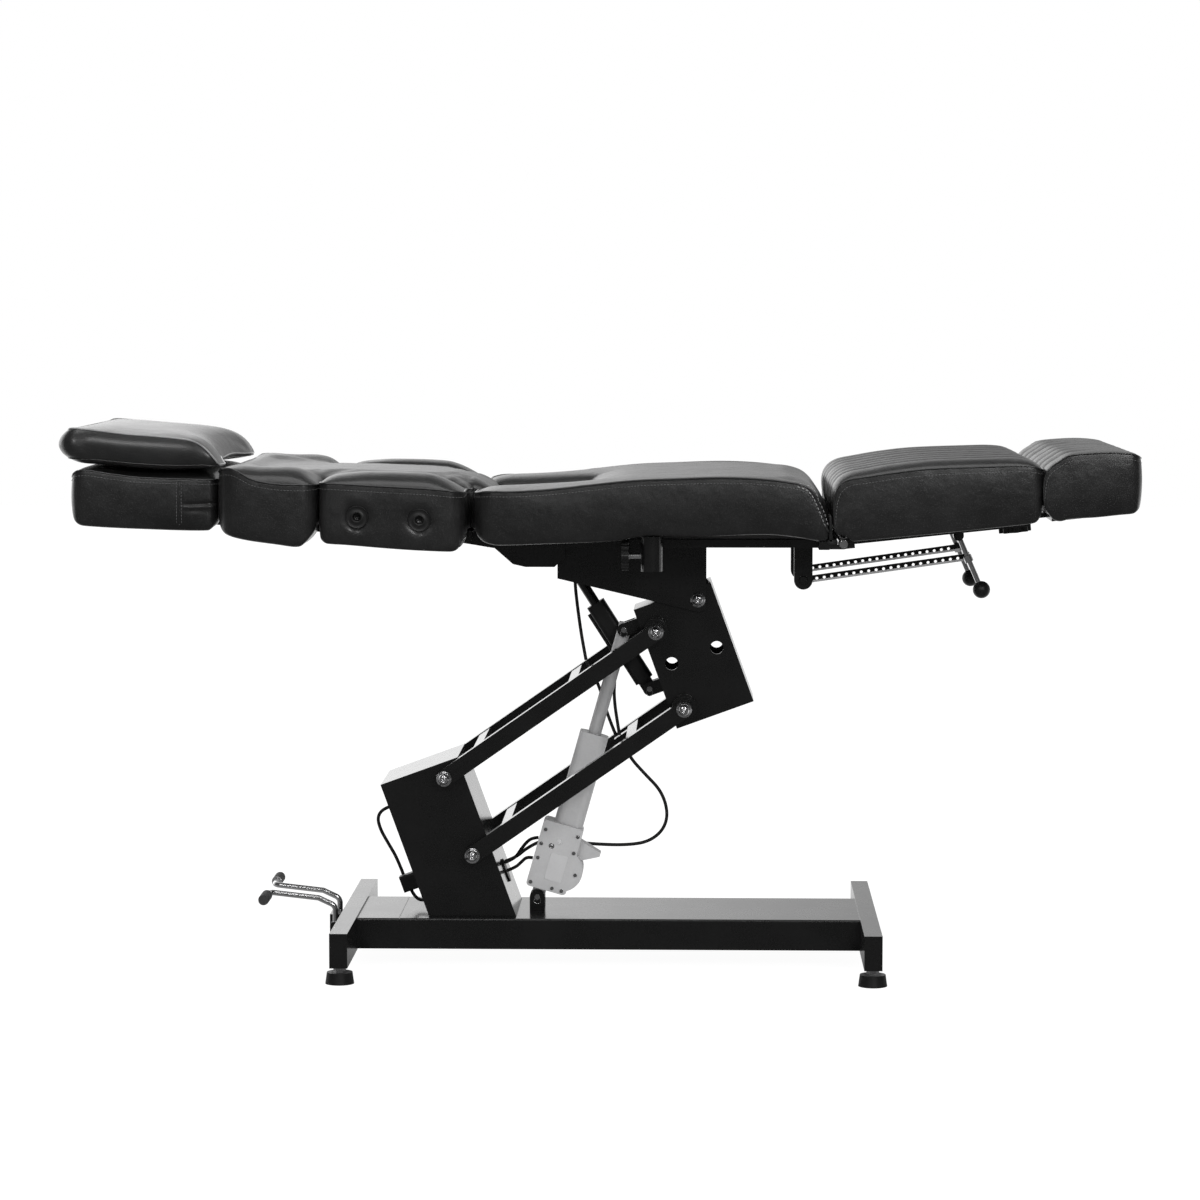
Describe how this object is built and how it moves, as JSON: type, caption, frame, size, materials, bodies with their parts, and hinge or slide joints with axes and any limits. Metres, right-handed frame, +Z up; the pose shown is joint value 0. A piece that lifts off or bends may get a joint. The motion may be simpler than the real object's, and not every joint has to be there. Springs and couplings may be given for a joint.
{
  "type": "tattoo chair",
  "caption": "Electric tattoo bed chair: low base, parallelogram lift, tilting seat, reclining back with side wings, wide head pillow and folding leg rests with foot pads, in black.",
  "frame": {"origin": "on the floor, under the middle of the bed's length and width", "axes": "+X towards the foot end, +Y towards the far side of the picture, +Z up"},
  "size_m": [1.852, 0.6006, 0.9604],
  "materials": {
    "black_paint": "satin black powder coat",
    "chrome": "polished",
    "steel": "bright zinc",
    "rod_steel": "ground",
    "tube_grey": "light grey coat",
    "case_grey": "light grey moulded plastic",
    "black_plastic": "fine-grained black plastic",
    "black_rubber": "matt black",
    "black_leather": "black synthetic leather with a fine grain"
  },
  "bodies": {
    "base": {"head_cross_rail": "black_paint", "foot_cross_rail": "black_paint", "base_beam": "black_paint", "levelling_feet": "black_plastic", "column": "black_paint", "column_front_panel": "black_paint", "column_pivot_bolts": "chrome", "lift_base_clevis": "black_paint", "control_unit": "black_plastic", "column_glands": "black_plastic", "pedal_bracket": "black_paint", "column_back_cable": "black_rubber", "loop_cable": "black_rubber", "lift_cables": "black_rubber"},
    "near_pedal": {"near_pedal": "black_paint"},
    "far_pedal": {"far_pedal": "black_paint"},
    "lower_arms": {"lower_arm_frame": "black_paint", "head_cables": "black_rubber"},
    "upper_arms": {"upper_arm_frame": "black_paint"},
    "head": {"head_box": "black_paint", "head_pivot_bolts": "chrome", "head_clevises": "black_paint", "seat_cable": "black_rubber", "tilt_cable_tail": "black_rubber"},
    "lift_body": {"lift_gearbox": "case_grey", "gearbox_screws": "steel", "lift_motor": "steel", "lift_tube": "tube_grey", "lift_screw": "steel"},
    "lift_rod": {"lift_rod": "rod_steel"},
    "tilt_body": {"tilt_housing": "black_plastic", "tilt_cable": "black_rubber"},
    "tilt_rod": {"tilt_rod": "black_paint"},
    "seat": {"seat_bracket": "black_paint", "seat_frame": "black_paint", "seat_cushion": "black_leather", "armrest_sockets": "black_paint"},
    "near_armrest_knob": {"near_armrest_knob": "black_plastic"},
    "far_armrest_knob": {"far_armrest_knob": "black_plastic"},
    "back": {"back_frame": "black_paint", "back_cushion": "black_leather"},
    "near_wing": {"near_wing": "black_leather"},
    "far_wing": {"far_wing": "black_leather"},
    "head_section": {"head_slide": "black_paint", "head_cushion": "black_leather", "head_pillow": "black_leather"},
    "near_leg": {"near_leg_cushion": "black_leather", "near_leg_frame": "black_paint"},
    "near_strut": {"near_strut": "steel"},
    "near_lever": {"near_release_lever": "black_paint"},
    "near_foot": {"near_foot_cushion": "black_leather", "near_foot_slide": "black_paint"},
    "near_foot_knob": {"near_foot_knob": "black_plastic"},
    "far_leg": {"far_leg_cushion": "black_leather", "far_leg_frame": "black_paint"},
    "far_strut": {"far_strut": "steel"},
    "far_lever": {"far_release_lever": "black_paint"},
    "far_foot": {"far_foot_cushion": "black_leather", "far_foot_slide": "black_paint"},
    "far_foot_knob": {"far_foot_knob": "black_plastic"}
  },
  "joints": [
    {"name": "lift", "type": "hinge", "parent": "base", "child": "lower_arms", "pos_m": [-0.2192, 0, 0.1995], "axis": [0, 1, 0], "range_deg": [0, 28], "deforming": ["loop_cable"]},
    {"name": "upper_arm_turn", "type": "hinge", "parent": "base", "child": "upper_arms", "pos_m": [-0.26859, 0, 0.33519], "axis": [0, 1, 0], "range_deg": [0, 28.1]},
    {"name": "head_level", "type": "hinge", "parent": "lower_arms", "child": "head", "pos_m": [0.15192, 0, 0.4584], "axis": [0, 1, 0], "range_deg": [-28.1, 0], "deforming": ["head_cables"]},
    {"name": "lift_body_turn", "type": "hinge", "parent": "base", "child": "lift_body", "pos_m": [-0.109, 0, 0.1126], "axis": [0, 1, 0], "range_deg": [0, 21.86], "deforming": ["lift_cables"]},
    {"name": "lift_rod_slide", "type": "slide", "parent": "lift_body", "child": "lift_rod", "axis": [-0.2727, 0, -0.9621], "range_m": [0, 0.1441]},
    {"name": "seat_tilt", "type": "hinge", "parent": "head", "child": "seat", "pos_m": [0.17553, 0, 0.64673], "axis": [0, 1, 0], "range_deg": [0, 15], "deforming": ["seat_cable"]},
    {"name": "tilt_body_turn", "type": "hinge", "parent": "head", "child": "tilt_body", "pos_m": [0.0899, 0, 0.47998], "axis": [0, 1, 0], "range_deg": [0, 9.8], "deforming": ["tilt_cable_tail"]},
    {"name": "tilt_rod_slide", "type": "slide", "parent": "tilt_body", "child": "tilt_rod", "axis": [-0.5379, 0, 0.843], "range_m": [0, 0.0406]},
    {"name": "back_recline", "type": "hinge", "parent": "seat", "child": "back", "pos_m": [-0.074, 0, 0.775], "axis": [0, 1, 0], "range_deg": [0, 75]},
    {"name": "head_section_slide", "type": "slide", "parent": "back", "child": "head_section", "axis": [-0.9984, 0, 0.0558], "range_m": [0, 0.1]},
    {"name": "near_pedal_press", "type": "hinge", "parent": "base", "child": "near_pedal", "pos_m": [-0.469, 0, 0.06], "axis": [0, 1, 0], "range_deg": [-6, 6], "stiffness_Nm_per_rad": 20},
    {"name": "near_armrest_clamp", "type": "hinge", "parent": "seat", "child": "near_armrest_knob", "pos_m": [0.046, -0.272, 0.738], "axis": [-1, 0, 0], "continuous": true},
    {"name": "near_wing_slide", "type": "slide", "parent": "back", "child": "near_wing", "axis": [0, -1, 0], "range_m": [0, 0.08]},
    {"name": "near_leg_fold", "type": "hinge", "parent": "seat", "child": "near_leg", "pos_m": [0.4225, 0, 0.76], "axis": [0, 1, 0], "range_deg": [0, 70]},
    {"name": "near_strut_turn", "type": "hinge", "parent": "seat", "child": "near_strut", "pos_m": [0.359, 0, 0.686], "axis": [0, 1, 0], "range_deg": [0, 61.32]},
    {"name": "near_lever_release", "type": "hinge", "parent": "near_leg", "child": "near_lever", "pos_m": [0.62706, 0, 0.76541], "axis": [0, 1, 0], "range_deg": [-15, 15], "stiffness_Nm_per_rad": 2},
    {"name": "near_foot_slide", "type": "slide", "parent": "near_leg", "child": "near_foot", "axis": [0.9945, 0, 0.1045], "range_m": [0, 0.12]},
    {"name": "near_foot_clamp", "type": "hinge", "parent": "near_leg", "child": "near_foot_knob", "pos_m": [0.72237, -0.1515, 0.78649], "axis": [-0.1045, 0, 0.9945], "continuous": true},
    {"name": "far_pedal_press", "type": "hinge", "parent": "base", "child": "far_pedal", "pos_m": [-0.469, 0, 0.06], "axis": [0, 1, 0], "range_deg": [-6, 6], "stiffness_Nm_per_rad": 20},
    {"name": "far_armrest_clamp", "type": "hinge", "parent": "seat", "child": "far_armrest_knob", "pos_m": [0.046, 0.272, 0.738], "axis": [-1, 0, 0], "continuous": true},
    {"name": "far_wing_slide", "type": "slide", "parent": "back", "child": "far_wing", "axis": [0, 1, 0], "range_m": [0, 0.08]},
    {"name": "far_leg_fold", "type": "hinge", "parent": "seat", "child": "far_leg", "pos_m": [0.4225, 0, 0.76], "axis": [0, 1, 0], "range_deg": [0, 70]},
    {"name": "far_strut_turn", "type": "hinge", "parent": "seat", "child": "far_strut", "pos_m": [0.359, 0, 0.686], "axis": [0, 1, 0], "range_deg": [0, 61.32]},
    {"name": "far_lever_release", "type": "hinge", "parent": "far_leg", "child": "far_lever", "pos_m": [0.62706, 0, 0.76541], "axis": [0, 1, 0], "range_deg": [-15, 15], "stiffness_Nm_per_rad": 2},
    {"name": "far_foot_slide", "type": "slide", "parent": "far_leg", "child": "far_foot", "axis": [0.9945, 0, 0.1045], "range_m": [0, 0.12]},
    {"name": "far_foot_clamp", "type": "hinge", "parent": "far_leg", "child": "far_foot_knob", "pos_m": [0.72237, 0.1515, 0.78649], "axis": [-0.1045, 0, 0.9945], "continuous": true}
  ],
  "couplings": [
    {"joint": "upper_arm_turn", "follows": "lift", "ratio": 1},
    {"joint": "head_level", "follows": "lift", "ratio": -1},
    {"joint": "lift_body_turn", "follows": "lift", "ratio": 0.77345},
    {"joint": "lift_rod_slide", "follows": "lift", "m_per_rad": 0.29378},
    {"joint": "tilt_body_turn", "follows": "seat_tilt", "ratio": 0.64027},
    {"joint": "tilt_rod_slide", "follows": "seat_tilt", "m_per_rad": 0.15314},
    {"joint": "near_strut_turn", "follows": "near_leg_fold", "ratio": 0.87313},
    {"joint": "far_strut_turn", "follows": "far_leg_fold", "ratio": 0.87313}
  ]
}
